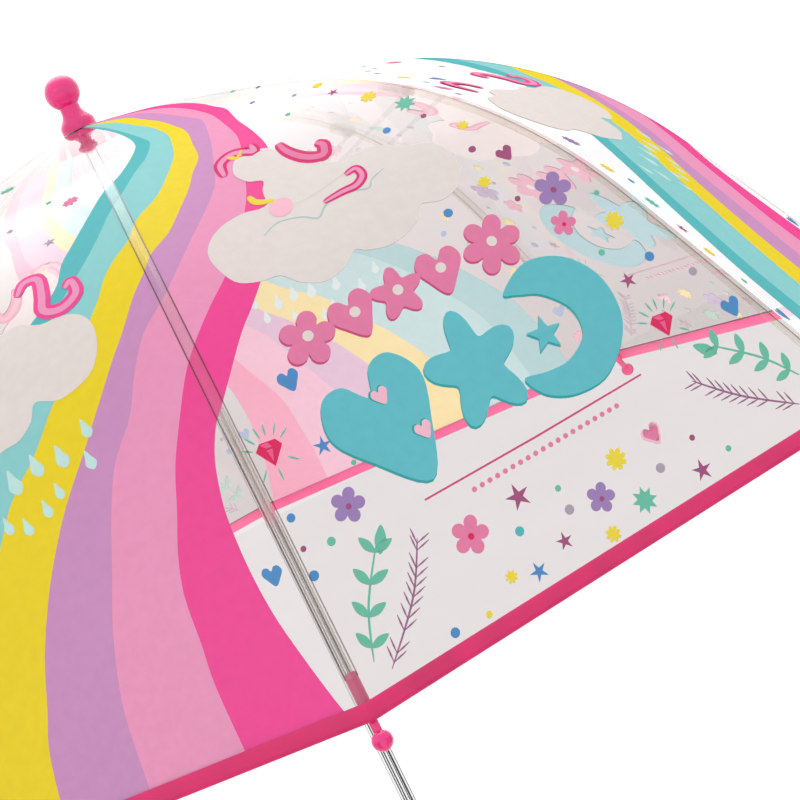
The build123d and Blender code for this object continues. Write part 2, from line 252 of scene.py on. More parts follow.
def clear_plastic(name, colour, clearness, roughness, waviness, wave_scale=14.0):
    """Thin clear plastic: what is behind shows through a tint, under a gloss surface."""
    n = Nodes(name)
    through = n.add("BsdfTransparent", Color=colour)
    haze = n.add("BsdfDiffuse", Color=rgb(244, 243, 241))
    film = n.add("MixShader")
    gloss = n.add("BsdfAnisotropic", Color=WHITE, Roughness=roughness)
    facing = n.add("LayerWeight", Blend=0.5)
    edge = n.add("Math", operation="POWER")
    edge.inputs[1].default_value = EDGE_POWER
    skin = n.add("MixShader")
    wave = n.bump(n.noise(wave_scale, 3.0), 0.6, waviness)
    n.link(n.spread(n.noise(35.0), clearness - 0.02, clearness + 0.02), film.inputs["Fac"])
    n.link(haze.outputs["BSDF"], film.inputs[1])
    n.link(through.outputs["BSDF"], film.inputs[2])
    n.link(wave, gloss.inputs["Normal"])
    n.link(wave, facing.inputs["Normal"])
    n.link(facing.outputs["Facing"], edge.inputs[0])
    gleam = n.spread(edge.outputs["Value"], GLEAM, 1.0)
    gleam.node.inputs["From Min"].default_value = 0.0
    gleam.node.inputs["From Max"].default_value = 1.0
    n.link(gleam, skin.inputs["Fac"])
    n.link(film.outputs["Shader"], skin.inputs[1])
    n.link(gloss.outputs["BSDF"], skin.inputs[2])
    return n.surface(skin.outputs["Shader"])


def printing(name, colour, cover, glow):
    """Screen ink on film, with the mottle that a screen leaves. Some light comes through it."""
    n = Nodes(name)
    front = n.add("BsdfDiffuse")
    back = n.add("BsdfTranslucent")
    lit = n.add("MixShader", Fac=glow)
    gloss = n.add("BsdfAnisotropic", Color=WHITE, Roughness=0.25)
    skin = n.add("MixShader", Fac=0.02)
    through = n.add("BsdfTransparent", Color=WHITE)
    ink = n.add("MixShader")
    tone = n.ramp(n.noise(220.0, 5.0), shade(colour, 0.975), shade(colour, 1.025))
    n.link(tone, front.inputs["Color"])
    n.link(tone, back.inputs["Color"])
    n.link(front.outputs["BSDF"], lit.inputs[1])
    n.link(back.outputs["BSDF"], lit.inputs[2])
    n.link(lit.outputs["Shader"], skin.inputs[1])
    n.link(gloss.outputs["BSDF"], skin.inputs[2])
    n.link(n.spread(n.noise(30.0), cover - 0.015, cover + 0.015), ink.inputs["Fac"])
    n.link(through.outputs["BSDF"], ink.inputs[1])
    n.link(skin.outputs["Shader"], ink.inputs[2])
    return n.surface(ink.outputs["Shader"])


PINK = rgb(234, 34, 126)
INKS = {
    "teal": rgb(84, 184, 188),
    "aqua": rgb(140, 206, 206),
    "yellow": rgb(238, 212, 26),
    "lilac": rgb(204, 144, 192),
    "rose": rgb(236, 152, 190),
    "hot_pink": rgb(242, 70, 150),
    "deep_pink": rgb(220, 36, 112),
    "cloud": rgb(226, 216, 211),
    "cloud_line": rgb(170, 200, 198),
    "word_pink": rgb(226, 124, 164),
    "word_edge": rgb(206, 72, 126),
    "word_teal": rgb(98, 188, 198),
    "teal_edge": rgb(40, 162, 164),
    "drop": rgb(196, 230, 226),
    "leaf": rgb(106, 190, 164),
    "fern": rgb(156, 104, 140),
    "plum": rgb(158, 128, 184),
    "mauve": rgb(164, 80, 124),
    "blue": rgb(76, 140, 198),
    "gold": rgb(238, 216, 60),
    "ruby": rgb(222, 32, 94),
    "ruby_light": rgb(240, 96, 144),
    "grey": rgb(172, 160, 176),
    "flush": rgb(244, 186, 204),
}
INK_NAMES = list(INKS)
SOLID_INKS = ("cloud", "word_pink", "word_edge", "word_teal", "teal_edge", "flush")
SOLID_COVER = 0.97
THIN_COVER = 0.93
BACK_COVER = 0.9
GLOW = 0.1                   # share of the light that comes through an ink
BACK_PALENESS_AND_PAINTED_GLOW = 0.4               # of the ink's back, seen through the film from inside
ink_materials = []
for name in INK_NAMES:
    cover = SOLID_COVER if name in SOLID_INKS else THIN_COVER
    ink_materials.append(printing("ink_" + name, INKS[name], cover, GLOW))
# Each ink's back is drawn paler than its front. This is partly the print's own pale back and partly
# painted light, standing in for the glow of the backlit far side seen from inside.
for name in INK_NAMES:
    back_tone_with_painted_glow = paler(INKS[name], BACK_PALENESS_AND_PAINTED_GLOW)
    ink_materials.append(printing("ink_back_" + name, back_tone_with_painted_glow, BACK_COVER, 0.0))

MATERIALS = {
    # clear plastics: tint, clearness, roughness, depth of the waves and their scale
    "film": clear_plastic("clear_film", rgb(222, 216, 216), 0.95, 0.05, 0.0012),
    "seam": clear_plastic("welded_film", rgb(250, 249, 247), 0.98, 0.08, 0.0004, 60.0),
    # The weld line's grey tint is partly the weld's own edge and partly painted shade: it darkens
    # the film and the print along each rib, standing in for the rib's shadow seen through the ink.
    "weld_line_and_rib_shade": clear_plastic("weld_line_and_rib_shade", rgb(170, 156, 158), 0.98, 0.12, 0.0004, 60.0),
    "tape": moulding("hem_tape", rgb(208, 22, 98), 0.5, 0.05),
    "tape_back": moulding("hem_back", rgb(250, 84, 150), 0.5, 0.05),
    "pink": moulding("pink_moulding", PINK, 0.28, 0.5),
    "chrome": chrome("chrome_tube", (0.86, 0.86, 0.87, 1), 0.09),
    "spring": chrome("spring_steel", (0.55, 0.56, 0.58, 1), 0.25),
    "wire": clear_plastic("clear_strut", rgb(250, 250, 249), 0.95, 0.1, 0.0003, 90.0),
    "rod": clear_plastic("clear_fibreglass", rgb(249, 247, 242), 0.95, 0.1, 0.0004, 80.0),
    "joint": clear_plastic("clear_moulding", rgb(246, 245, 242), 0.9, 0.12, 0.0003, 90.0),
}

NODE_MATERIALS = {
    "shaft": "chrome",
    "crown": "joint",
    "crown_ring": "spring",
    "crown_rosette": "pink",
    "finial": "pink",
    "runner": "joint",
    "runner_ring": "spring",
    "top_catch": "spring",
    "bottom_catch": "spring",
    "handle": "pink",
    "handle_collar": "chrome",
    "upper_rib": "rod",
    "lower_rib": "rod",
    "rib_joint": "joint",
    "rib_tip": "pink",
    "stretcher": "wire",
}
for node_name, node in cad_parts.items():
    kind = node_name.rstrip("0123456789").rstrip("_")
    if kind in NODE_MATERIALS:
        for slot in node.material_slots:
            slot.material = MATERIALS[NODE_MATERIALS[kind]]


# ---- the print ----------------------------------------------------------
shapes = []                  # (ink, layer, outline as (y, s) points) about an odd rib


def ink(name, layer, outline):
    """Prints an outline in that ink, over all lower layers."""
    shapes.append((name, layer, outline))


def smooth(points, closed=False, parts=5):
    """A Catmull-Rom curve through points."""
    count = len(points)
    curve = []
    for i in range(count if closed else count - 1):
        if closed:
            p = [points[(i + k) % count] for k in (-1, 0, 1, 2)]
        else:
            p = [points[min(max(i + k, 0), count - 1)] for k in (-1, 0, 1, 2)]
        for j in range(parts):
            t = j / parts
            weights = (
                (-t + 2 * t * t - t ** 3) / 2,
                (2 - 5 * t * t + 3 * t ** 3) / 2,
                (t + 4 * t * t - 3 * t ** 3) / 2,
                (t ** 3 - t * t) / 2,
            )
            curve.append(tuple(sum(w * q[axis] for w, q in zip(weights, p)) for axis in (0, 1)))
    if not closed:
        curve.append(tuple(points[-1]))
    return curve


def placed(outline, y, s, turn=0.0, size=1.0, stretch=1.0):
    c = cos(radians(turn)) * size
    d = sin(radians(turn)) * size
    return [(y + a * c - b * stretch * d, s + a * d + b * stretch * c) for a, b in outline]


def ring(radius, count=12, start=0.0):
    """radius is a length, or a function of the angle in radians."""
    angles = [radians(start) + 2 * pi * i / count for i in range(count)]
    reach = radius if callable(radius) else lambda angle: radius
    return [(reach(a) * cos(a), reach(a) * sin(a)) for a in angles]


def star(points=5, inner=0.42):
    corners = []
    for i in range(2 * points):
        angle = pi * i / points - pi / 2
        reach = inner if i % 2 else 1.0
        corners.append((cos(angle) * reach, sin(angle) * reach))
    return corners


def soft_star(points=5, depth=0.2):
    return ring(lambda a: 1 - depth - depth * cos(points * (a - pi / 2)), 14 * points)


def petals(count=5):
    return ring(lambda a: 0.55 + 0.45 * abs(cos(count * a / 2)) ** 0.7, 10 * count)


HEART = smooth(
    [(0, 1.0), (-0.62, 0.3), (-0.95, -0.3), (-0.72, -0.8), (-0.3, -0.82), (0, -0.45),
     (0.3, -0.82), (0.72, -0.8), (0.95, -0.3), (0.62, 0.3)],
    closed=True,
    parts=6,
)
LEAF = smooth([(0, 0), (0.25, 0.17), (0.6, 0.2), (1, 0), (0.6, -0.2), (0.25, -0.17)], True, 3)
DROP = smooth([(0, -1), (0.3, -0.2), (0.52, 0.45), (0, 1), (-0.52, 0.45), (-0.3, -0.2)], True, 3)


def stroke(points, width):
    """A line of that width along points, tapered to its ends."""
    left = []
    right = []
    for i, (y, s) in enumerate(points):
        before = points[max(i - 1, 0)]
        after = points[min(i + 1, len(points) - 1)]
        length = hypot(after[0] - before[0], after[1] - before[1])
        across = (-(after[1] - before[1]) / length, (after[0] - before[0]) / length)
        share = i / (len(points) - 1)
        half = width / 2 * (0.35 + 0.65 * sin(pi * share) ** 0.5)
        left.append((y + across[0] * half, s + across[1] * half))
        right.append((y - across[0] * half, s - across[1] * half))
    return left + right[::-1]


# The rainbow's seven edges, from the crown down across the rib to the hem.
RAINBOW_EDGES = [
    [(1.4, 10), (9, 50), (15, 80), (19, 105), (21, 125), (20, 140), (14, 158), (5, 174),
     (-5, 184), (-16, 199), (-27, 213), (-36, 224), (-43, 238), (-60, 252), (-95, 275),
     (-130, 298), (-160, 322), (-185, 350), (-203, 375), (-218, 400), (-232, 440), (-240, 476)],
    [(2, 10), (11, 50), (17, 80), (22, 105), (26, 125), (28, 140), (23, 161), (14, 176),
     (3, 194), (-6, 205), (-15, 218), (-25, 230), (-36, 241), (-54, 258), (-84, 280),
     (-112, 300), (-136, 318), (-160, 345), (-178, 372), (-194, 400), (-206, 440), (-213, 476)],
    [(3.2, 10), (18, 50), (25, 80), (32, 105), (36, 125), (38, 140), (37, 160), (34, 178),
     (25, 197), (17, 209), (5, 219), (-3, 231), (-12, 238), (-20, 246), (-27, 257), (-36, 268),
     (-50, 284), (-66, 300), (-81, 317), (-101, 335), (-120, 362), (-136, 385), (-150, 410),
     (-162, 440), (-168, 476)],
    [(4.4, 10), (24, 50), (32, 80), (39, 105), (43, 125), (46, 140), (47, 155), (46, 170),
     (45, 188), (39, 200), (33, 213), (25, 225), (15, 238), (4, 246), (-3, 255), (-12, 265),
     (-23, 280), (-33, 292), (-45, 307), (-60, 325), (-77, 344), (-89, 360), (-100, 377),
     (-112, 400), (-120, 421), (-127, 440), (-133, 476)],
    [(5.5, 10), (29, 50), (40, 80), (47, 105), (53, 125), (57, 140), (56, 161), (54, 180),
     (50, 200), (48, 209), (44, 221), (35, 234), (23, 248), (8, 265), (-2, 275), (-15, 286),
     (-26, 302), (-36, 320), (-50, 336), (-60, 354), (-70, 377), (-80, 400), (-87, 421),
     (-91, 440), (-94, 476)],
    [(6.5, 10), (33, 50), (47, 80), (55, 105), (60, 125), (63, 140), (65, 161), (67, 185),
     (64, 205), (60, 222), (54, 240), (44, 258), (34, 271), (27, 279), (17, 288), (4, 301),
     (-6, 313), (-16, 329), (-27, 348), (-35, 367), (-42, 383), (-47, 400), (-49, 421),
     (-51, 440), (-51, 476)],
    [(7.4, 10), (37, 50), (53, 80), (62, 105), (67, 125), (71, 140), (72, 165), (75, 185),
     (77, 205), (75, 225), (70, 245), (60, 265), (50, 278), (42, 288), (33, 298), (23, 308),
     (7, 327), (0, 335), (-5, 341), (-11, 353), (-15, 367), (-17, 379), (-18, 400), (-17, 421),
     (-14, 440), (-10, 460), (-6, 476)],
]
RAINBOW_INKS = ("teal", "aqua", "yellow", "lilac", "rose", "hot_pink")
rainbow = [smooth(edge, parts=4) for edge in RAINBOW_EDGES]
for name, left_edge, right_edge in zip(RAINBOW_INKS, rainbow, rainbow[1:]):
    ink(name, 0, left_edge + right_edge[::-1])

# A cloud in the wide clear part of gore A, and a like one over the rainbow in gore B.
CLOUD = [
    (26, 266), (29, 256), (38, 249), (50, 247), (60, 249), (74, 243), (90, 244), (100, 247),
    (108, 243), (117, 242), (126, 246), (133, 252), (146, 258), (152, 267), (153, 278),
    (149, 287), (143, 291), (135, 292), (126, 289), (122, 295), (112, 300), (102, 301),
    (92, 298), (87, 295), (79, 301), (68, 303), (58, 298), (51, 290), (41, 288), (31, 282),
]
ink("cloud", 2, smooth(CLOUD, closed=True, parts=4))
ink("cloud_line", 3, stroke(smooth([(53, 266), (62, 262), (73, 265), (80, 270), (86, 265),
                                    (96, 262), (108, 267), (112, 263), (120, 260)]), 0.9))
CLOUD_B = [
    (-34, 270), (-37, 261), (-45, 256), (-56, 255), (-66, 249), (-80, 250), (-92, 246),
    (-104, 242), (-116, 243), (-126, 248), (-140, 247), (-154, 252), (-166, 258), (-172, 267),
    (-170, 277), (-164, 284), (-154, 290), (-142, 291), (-134, 296), (-124, 304), (-112, 308),
    (-102, 311), (-92, 309), (-85, 308), (-77, 302), (-72, 294), (-62, 298), (-51, 296),
    (-42, 291), (-36, 281),
]
ink("cloud", 2, smooth(CLOUD_B, closed=True, parts=4))

# A crescent resting on each cloud, with ribbon curls.
CRESCENT = smooth([(56, 214), (60, 206), (68, 205), (76, 208), (80, 215), (84, 226), (93, 235),
                   (102, 243), (104, 250), (92, 254), (76, 256), (64, 252), (63, 240), (66, 232),
                   (60, 228), (56, 221)], closed=True)
ink("cloud", 4, CRESCENT)


def ribbon(points, width, dark, light):
    ink(dark, 5, stroke(smooth(points), width))
    ink(light, 6, stroke(smooth(points), width * 0.45))


ribbon([(51, 216), (52, 205), (59, 200), (66, 203), (70, 206), (70, 199)], 8, "deep_pink", "rose")
ribbon([(57, 201), (61, 205), (65, 200)], 3.2, "gold", "gold")
ribbon([(82, 209), (84, 219), (90, 229), (98, 233), (101, 226), (98, 222)], 8.5, "deep_pink",
       "word_pink")
ribbon([(86, 263), (96, 262), (104, 262), (109, 258), (108, 252), (102, 253)], 5.5, "deep_pink",
       "rose")
ribbon([(56, 238), (58, 244), (66, 248)], 3.6, "gold", "gold")
ribbon([(-61, 231), (-56, 224), (-49, 226), (-50, 238), (-52, 248), (-44, 252), (-35, 247),
        (-35, 238), (-39, 241)], 8.5, "hot_pink", "rose")
ribbon([(-128, 240), (-124, 228), (-114, 222), (-106, 228), (-106, 238)], 8, "deep_pink", "rose")
ink("flush", 5, placed(ring(1.0), 67, 254, size=6))

# Drops that fall from cloud B.
for y, s, size in ((-56, 316, 5), (-60, 330, 5), (-71, 323, 6), (-83, 322, 6), (-95, 325, 6.5),
                   (-78, 337, 4.2), (-86, 342, 4.5), (-97, 346, 4.5), (-105, 342, 4.5),
                   (-112, 328, 6), (-116, 350, 4.5), (-127, 338, 5.5), (-140, 330, 5)):
    ink("drop", 1, placed(DROP, y, s, turn=-6, size=size))

# Five small shapes and three large ones under cloud A.
SMALL_ROW = (
    (petals(5), 48.5, 324, 13.2, 4), (HEART, 72.5, 324, 11.8, -8),
    (soft_star(5, 0.22), 95, 324, 13.2, 6), (HEART, 118, 324, 12, 8), (petals(6), 146, 324, 15, 0),
)
for outline, y, s, size, turn in SMALL_ROW:
    ink("word_edge", 2, placed(outline, y - 0.6, s + 0.7, turn, size))
    ink("word_pink", 3, placed(outline, y, s, turn, size))
    ink("cloud", 4, placed(ring(1.0), y + 0.5, s - 1, size=2.6))
MOON = smooth([(0.8, -0.72), (0.5, -0.98), (0.0, -1.02), (-0.55, -0.78), (-0.92, -0.1),
               (-0.74, 0.58), (-0.2, 0.98), (0.45, 0.97), (0.88, 0.55), (0.66, 0.5), (0.28, 0.46),
               (-0.14, 0.2), (-0.24, -0.2), (0.06, -0.54), (0.44, -0.66)], True)
LARGE_ROW = (
    (HEART, 63, 374, 26.5, -10, 1.16), (soft_star(5, 0.24), 110, 371, 24, 2, 1.18),
    (MOON, 157, 373, 30, 200, 1.06), (star(5, 0.42), 146, 373, 9, 10, 1.0),
)
for outline, y, s, size, turn, stretch in LARGE_ROW:
    ink("teal_edge", 2, placed(outline, y - 0.6, s + 0.8, turn, size, stretch))
    ink("word_teal", 3, placed(outline, y, s, turn, size, stretch))
for y, s in ((65, 362), (75, 384)):
    ink("teal_edge", 4, placed(HEART, y - 0.5, s - 0.3, -7, 4.6))
    ink("flush", 5, placed(HEART, y, s, -7, 4.2))
ink("word_edge", 1, [(60.6, 409.6), (118, 410.0), (176, 409.6), (176, 410.4), (118, 410.9),
                     (60.6, 410.4)])
for i in range(20):
    ink("word_pink", 1, placed(ring(1.0, 8), 82 + 4 * i, 416.5, size=1.2))

# Small motifs: ink, kind, y, s, size, turn.
KINDS = {
    "heart": HEART,
    "star": star(5, 0.35),
    "puff": petals(8),
    "splash": star(8, 0.55),
    "dot": ring(1.0, 10),
}
MOTIFS = (
    ("blue", "heart", 32.5, 337, 5.2, 0), ("blue", "heart", 233, 404, 5, 0),
    ("flush", "heart", 166, 435, 5.2, -12), ("word_pink", "heart", 166, 434.6, 4.2, -12),
    ("blue", "heart", -10.4, 407, 4.4, 6), ("mauve", "heart", 176, 285, 4.6, -8),
    ("blue", "star", 32.5, 369, 4.4, 12), ("mauve", "star", 97.5, 428.5, 6, 0),
    ("mauve", "star", 106, 454, 4, 8), ("blue", "star", 89.6, 459, 4.4, -8),
    ("mauve", "star", 195, 370, 4.2, 0), ("mauve", "star", 177.7, 459, 5, 10),
    ("gold", "puff", 78, 455, 2.8, 0), ("gold", "dot", 62, 463, 1.5, 0),
    ("gold", "puff", 126.7, 462, 3.6, 0), ("gold", "puff", 145, 436, 5, 0),
    ("gold", "puff", 205, 342, 4.8, 0), ("gold", "puff", 159, 294, 3.4, 0),
    ("gold", "puff", 134.6, 206, 4.6, 0), ("gold", "puff", 166, 258, 3, 0),
    ("gold", "puff", 117, 170, 3, 0), ("leaf", "splash", 147, 457, 6, 10),
    ("leaf", "splash", 148, 225, 6, 0), ("leaf", "dot", 17.3, 405.5, 1.9, 0),
    ("teal", "dot", 90.6, 441, 2.1, 0), ("leaf", "dot", 115, 434, 1.4, 0),
    ("grey", "dot", 114.8, 444, 2.2, 0), ("grey", "dot", 161, 449, 2.2, 0),
    ("blue", "dot", 45.8, 462, 2.1, 0), ("mauve", "dot", 181.5, 445, 1.4, 0),
    ("leaf", "dot", 194, 457, 1.4, 0), ("blue", "dot", 135.4, 300, 2.4, 0),
    ("mauve", "dot", 168.8, 310, 1.5, 0), ("leaf", "dot", 204.8, 326, 1.4, 0),
    ("leaf", "dot", 191, 352.5, 1.6, 0), ("blue", "dot", 210.8, 365, 2.4, 0),
    ("grey", "dot", 225.8, 381, 2.1, 0), ("mauve", "dot", 182, 368.5, 1.4, 0),
    ("grey", "dot", 42.3, 358, 2.1, 0), ("leaf", "dot", 41, 381.5, 1.2, 0),
    ("blue", "dot", 6.7, 389, 1.9, 0), ("mauve", "dot", 5.6, 402.5, 1.3, 0),
    ("blue", "dot", 4.6, 414, 2.2, 0), ("blue", "dot", 132, 237.5, 2.2, 0),
    ("mauve", "dot", 152, 240, 1.6, 0), ("mauve", "dot", 163, 274, 2, 0),
    ("mauve", "star", 121, 186, 3.4, 0), ("leaf", "dot", 95, 186, 1.4, 0),
    ("grey", "dot", 104, 168, 1.5, 0), ("blue", "dot", 84, 150, 1.6, 0),
    ("mauve", "dot", 92, 128, 1.4, 0), ("leaf", "dot", 80, 112, 1.4, 0),
)
for name, kind, y, s, size, turn in MOTIFS:
    ink(name, 1, placed(KINDS[kind], y, s, turn, size))

# Flowers: y, s, size, ink of the petals and of the middle.
FLOWERS = (
    (30.4, 396, 7.6, "plum", "mauve"), (70.8, 432, 8.4, "word_pink", "ruby"),
    (130, 446.6, 6.6, "plum", "mauve"), (186.7, 314, 9.4, "plum", "mauve"),
    (182, 331.6, 6.4, "word_pink", "ruby"),
)
for y, s, size, name, middle_ink in FLOWERS:
    ink(name, 1, placed(petals(5), y, s, 12, size))
    ink(middle_ink, 2, placed(ring(1.0, 10), y, s + 0.6, 0, size * 0.17))

# A gem with rays on each side of gore A.
RAY = stroke([(7.6, 0), (10.2, 0), (12.8, 0)], 0.9)
for y, s in ((11.2, 361), (198.5, 395.5)):
    for angle in (-150, -125, -100, -80, -55, -30, 40, 90, 130):
        ink("leaf", 1, placed(RAY, y, s, angle))
    ink("ruby", 2, placed([(-6, -2), (-3.6, -5), (3.6, -5), (6, -2), (0.4, 6)], y, s, 8))
    ink("ruby_light", 3, placed([(-3.6, -4.4), (-1.2, -2.2), (1.4, -2.2), (0, -4.6)], y, s, 8))
    ink("ruby_light", 3, placed([(-1.4, -1.4), (1.4, -1.4), (0.2, 4)], y, s, 8))


TO_DEGREES = 57.3
LEAF_ANGLE = 52              # between stem and leaf
BARB_ANGLE = 38


def twig(base, tip, bow, name, pairs):
    """A curved stem with pairs of leaves."""
    middle = ((base[0] + tip[0]) / 2 + bow, (base[1] + tip[1]) / 2)
    stem = smooth([base, middle, tip], parts=6)
    ink(name, 1, stroke(stem, 1.0))
    heading = TO_DEGREES * atan((tip[0] - base[0]) / (base[1] - tip[1]))
    for i in range(pairs):
        y, s = stem[2 + round((len(stem) - 4) * i / (pairs - 1))]
        size = 9.5 - 1.5 * abs(i - pairs / 2) / pairs
        for side in (-1, 1):
            ink(name, 2, placed(LEAF, y, s, -90 + heading + side * LEAF_ANGLE, size))
    ink(name, 2, placed(LEAF, tip[0], tip[1] + 4, -90 + heading, 12))


def frond(base, tip, bow, name, count):
    """A curved stem with fine barbs on both sides."""
    middle = ((base[0] + tip[0]) / 2 + bow, (base[1] + tip[1]) / 2)
    stem = smooth([base, middle, tip], parts=max(6, count // 2 + 1))
    ink(name, 1, stroke(stem, 0.9))
    heading = TO_DEGREES * atan((tip[0] - base[0]) / (base[1] - tip[1]))
    barb = stroke([(0, 0), (3.4, 0), (6.8, 0)], 0.8)
    for i in range(1, count):
        y, s = stem[round((len(stem) - 1) * i / count)]
        for side in (-1, 1):
            ink(name, 1, placed(barb, y, s, -90 + heading + side * BARB_ANGLE))


twig((10.8, 455), (33, 416), -3, "leaf", 4)
frond((16, 461), (50, 422), 4, "fern", 12)
twig((244, 446), (214, 415), 3, "leaf", 4)
frond((236, 457), (196, 424), -3, "fern", 12)

# Small motifs down the left side of gore B, over the guessed part of the print.
MOTIFS_B = (
    ("word_pink", "puff", -20, 173, 4.4, 0), ("grey", "star", -37, 202, 3.4, 0),
    ("leaf", "dot", -30, 160, 1.6, 0), ("grey", "dot", -53, 171, 1.6, 0),
    ("leaf", "splash", -48, 96, 5, 0), ("plum", "puff", -62, 130, 5, 0),
    ("gold", "puff", -78, 150, 3.4, 0), ("blue", "dot", -70, 172, 2, 0),
    ("mauve", "star", -92, 182, 4, 0), ("gold", "puff", -112, 200, 4, 0),
    ("blue", "heart", -100, 214, 4.6, 6), ("leaf", "dot", -126, 214, 1.8, 0),
    ("word_pink", "puff", -142, 226, 5, 0), ("grey", "dot", -156, 236, 2, 0),
    ("plum", "puff", -178, 296, 5, 0), ("gold", "puff", -196, 318, 4, 0),
    ("leaf", "splash", -206, 344, 5, 0), ("blue", "dot", -190, 330, 2, 0),
    ("mauve", "star", -216, 362, 4.2, 0), ("gold", "puff", -224, 378, 3.4, 0),
    ("leaf", "dot", -232, 398, 1.8, 0), ("blue", "heart", -243, 420, 4.4, 0),
    ("word_pink", "puff", -250, 444, 4.6, 0),
)
for name, kind, y, s, size, turn in MOTIFS_B:
    ink(name, 1, placed(KINDS[kind], y, s, turn, size))

# ---- the print cut into the film's cells --------------------------------
ROWS = sorted({k * ROW for k in range(1, int(HEM_S // ROW) + 1)} | {JOINT_S})
LIFT = 0.06                  # first ink layer above the film
LAYER = 0.04                 # and from each layer to the next
SLIVER = 1e-7                # no cell of ink is smaller than this, in gores times millimetres


def cells_of(outline):
    """The outline cut into cells of the film, as lists of (u, s)."""
    bm = bmesh.new()
    face = bm.faces.new([bm.verts.new((y, s, 0)) for y, s in outline])
    face.normal_update()
    if face.normal.z < 0:
        face.normal_flip()
    bmesh.ops.triangulate(bm, faces=[face])

    def cut(where, normal):
        everything = bm.verts[:] + bm.edges[:] + bm.faces[:]
        bmesh.ops.bisect_plane(bm, geom=everything, dist=1e-6, plane_co=where, plane_no=normal)

    low = min(s for _, s in outline)
    high = max(s for _, s in outline)
    for s in ROWS:
        if low < s < high:
            cut((0, s, 0), (0, 1, 0))
    for vert in bm.verts:
        vert.co.x /= chord(vert.co.y)
    low = min(v.co.x for v in bm.verts)
    high = max(v.co.x for v in bm.verts)
    for k in range(-COLUMNS, COLUMNS + 1):
        if low < k / COLUMNS < high:
            cut((k / COLUMNS, 0, 0), (1, 0, 0))
    faces = [face for face in bm.faces if face.calc_area() > SLIVER]
    cells = [[(v.co.x, v.co.y) for v in face.verts] for face in faces]
    bm.free()
    return cells


class Patch:
    """A mesh being gathered for one piece, with shared corners within a gore."""

    def __init__(self):
        self.verts = []
        self.index = {}
        self.faces = []
        self.materials = []

    def corner(self, u, s, lift, gore):
        key = (round(u, 5), round(s, 3), round(lift, 3), gore)
        if key not in self.index:
            self.index[key] = len(self.verts)
            self.verts.append(canopy_point(u, s, lift, gore))
        return self.index[key]

    def add(self, corners, material):
        self.faces.append(corners)
        self.materials.append(material)


prints = {(half, rib): Patch() for half in ("upper", "lower") for rib in range(1, RIB_COUNT + 1)}
for name, layer, outline in shapes:
    number = INK_NAMES.index(name)
    lift = LIFT + LAYER * layer
    for cell in cells_of(outline):
        middle_u = sum(u for u, _ in cell) / len(cell)
        middle_s = sum(s for _, s in cell) / len(cell)
        if not (abs(middle_u) < 1 and HOLE_S < middle_s < HEM_S):
            continue
        half = "upper" if middle_s < JOINT_S else "lower"
        for shift in range(0, RIB_COUNT, 2):
            u0 = middle_u + shift
            patch = prints[half, round(u0) % RIB_COUNT + 1]
            gore = floor(u0)
            outer = [patch.corner(u + shift, s, lift, gore) for u, s in cell]
            if len(set(outer)) < 3:
                continue
            inner = [patch.corner(u + shift, s, -lift, gore) for u, s in cell]    # the ink's back
            patch.add(outer[::-1], number)
            patch.add(inner, number + len(INK_NAMES))


# ---- the film, its seams and its hem ------------------------------------
def strip(u_stops, s_stops, patch):
    """A sheet of the film's cells, whose corners lie on those stops."""
    for u0, u1 in zip(u_stops, u_stops[1:]):
        gore = floor((u0 + u1) / 2)
        for s0, s1 in zip(s_stops, s_stops[1:]):
            corners = [(u0, s0), (u0, s1), (u1, s1), (u1, s0)]
            patch.add([patch.corner(u, s, 0.0, gore) for u, s in corners], 0)


def fit_to_rib(piece, number, half):
    """piece rides on the rib, with a mesh of its own."""
    upper = half == "upper"
    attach(piece, f"rib_{number}" if upper else f"rib_end_{number}")
    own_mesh(piece)


def cut_size(start, end):
    """Flat width, length and area in metres of the film round one rib."""
    stops = stations(start, end)
    area = sum((s1 - s0) * (chord(s0) + chord(s1)) / 2 for s0, s1 in zip(stops, stops[1:]))
    return chord(end) * MM, (end - start) * MM, area * MM * MM


WELD_START = 30.0
WELD_END = HEM_S - 14
# The second strip on each side takes the weld line's grey tint, which is partly painted shade of
# the rib.
WELD_LINES = ((0.0, 2.3, 0.28), (2.3, 2.9, 0.4))    # from and to across the rib, and the lift
columns = [k / COLUMNS for k in range(-COLUMNS // 2, COLUMNS // 2 + 1)]
TAPE_TOP = 466.5
TAPE_FOOT = 473.9
